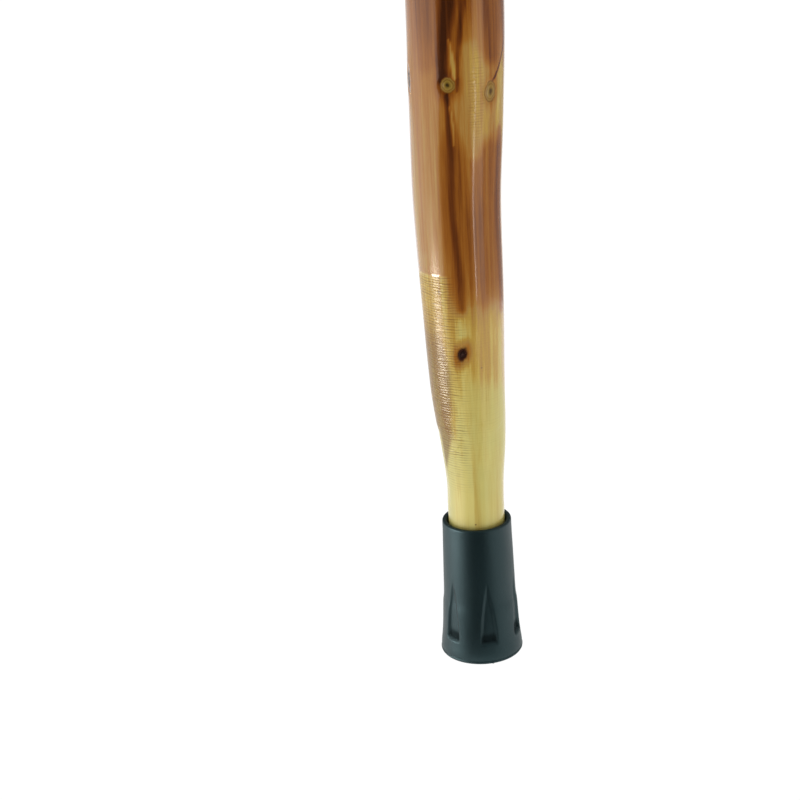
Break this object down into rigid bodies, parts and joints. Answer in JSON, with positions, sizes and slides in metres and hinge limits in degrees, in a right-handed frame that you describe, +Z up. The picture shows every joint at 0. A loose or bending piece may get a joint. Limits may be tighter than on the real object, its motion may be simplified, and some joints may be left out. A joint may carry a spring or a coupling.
{
  "type": "underarm crutch",
  "caption": "Underarm crutch with a natural wooden leg clamped between two bent bows, a height-adjusting leg and hand grip, a padded leather armrest and a fluted rubber ferrule.",
  "frame": {"origin": "centre of the ferrule's foot, on the floor", "axes": "+Z up along the leg; +X to the right, from one bow to the other; -Y is the front"},
  "size_m": [0.229, 0.051, 1.2492],
  "materials": {
    "pole_wood": "scorched and varnished natural wood",
    "bow_wood": "varnished bent wood",
    "ferrule_rubber": "semi-gloss moulded rubber",
    "steel": "zinc-plated steel",
    "leather": "brown upholstery leather",
    "foam": "upholstery foam",
    "brass": "polished brass",
    "grip_rubber": "matt moulded rubber"
  },
  "bodies": {
    "frame": {"left_bow": "bow_wood", "right_bow": "bow_wood", "armrest_beam": "bow_wood", "armrest_foam": "foam", "armrest_cover": "leather", "armrest_tacks": "brass", "armrest_screws": "brass", "lower_leg_bolt": "steel", "upper_leg_bolt": "steel"},
    "leg": {"leg_shaft": "pole_wood", "rubber_ferrule": "ferrule_rubber", "ferrule_disc": "steel"},
    "grip": {"grip_core": "bow_wood", "grip_sleeve": "grip_rubber", "grip_end_washers": "steel", "grip_bolt": "steel"},
    "lower_washer": {"lower_leg_washer": "steel"},
    "lower_nut": {"lower_wing_nut": "steel"},
    "upper_washer": {"upper_leg_washer": "steel"},
    "upper_nut": {"upper_wing_nut": "steel"},
    "grip_washer": {"grip_washer": "steel"},
    "grip_nut": {"grip_wing_nut": "steel"}
  },
  "joints": [
    {"name": "leg_adjust", "type": "slide", "parent": "frame", "child": "leg", "axis": [0, 0, 1], "range_m": [-0.075, 0.075]},
    {"name": "grip_adjust", "type": "slide", "parent": "frame", "child": "grip", "axis": [0, 0, 1], "range_m": [-0.075, 0.075]},
    {"name": "lower_washer_slide", "type": "slide", "parent": "frame", "child": "lower_washer", "axis": [1, 0, 0], "range_m": [0, 0.008]},
    {"name": "lower_nut_turn", "type": "hinge", "parent": "lower_washer", "child": "lower_nut", "pos_m": [0, 0, 0.455], "axis": [1, 0, 0], "range_deg": [0, 2881]},
    {"name": "upper_washer_slide", "type": "slide", "parent": "frame", "child": "upper_washer", "axis": [1, 0, 0], "range_m": [0, 0.008]},
    {"name": "upper_nut_turn", "type": "hinge", "parent": "upper_washer", "child": "upper_nut", "pos_m": [0, 0, 0.555], "axis": [1, 0, 0], "range_deg": [0, 2881]},
    {"name": "grip_washer_slide", "type": "slide", "parent": "grip", "child": "grip_washer", "axis": [1, 0, 0], "range_m": [0, 0.008]},
    {"name": "grip_nut_turn", "type": "hinge", "parent": "grip_washer", "child": "grip_nut", "pos_m": [0, 0, 0.86], "axis": [1, 0, 0], "range_deg": [0, 2881]}
  ],
  "couplings": [
    {"joint": "lower_nut_turn", "follows": "lower_washer_slide", "rad_per_m": 6283.2},
    {"joint": "upper_nut_turn", "follows": "upper_washer_slide", "rad_per_m": 6283.2},
    {"joint": "grip_nut_turn", "follows": "grip_washer_slide", "rad_per_m": 6283.2}
  ]
}
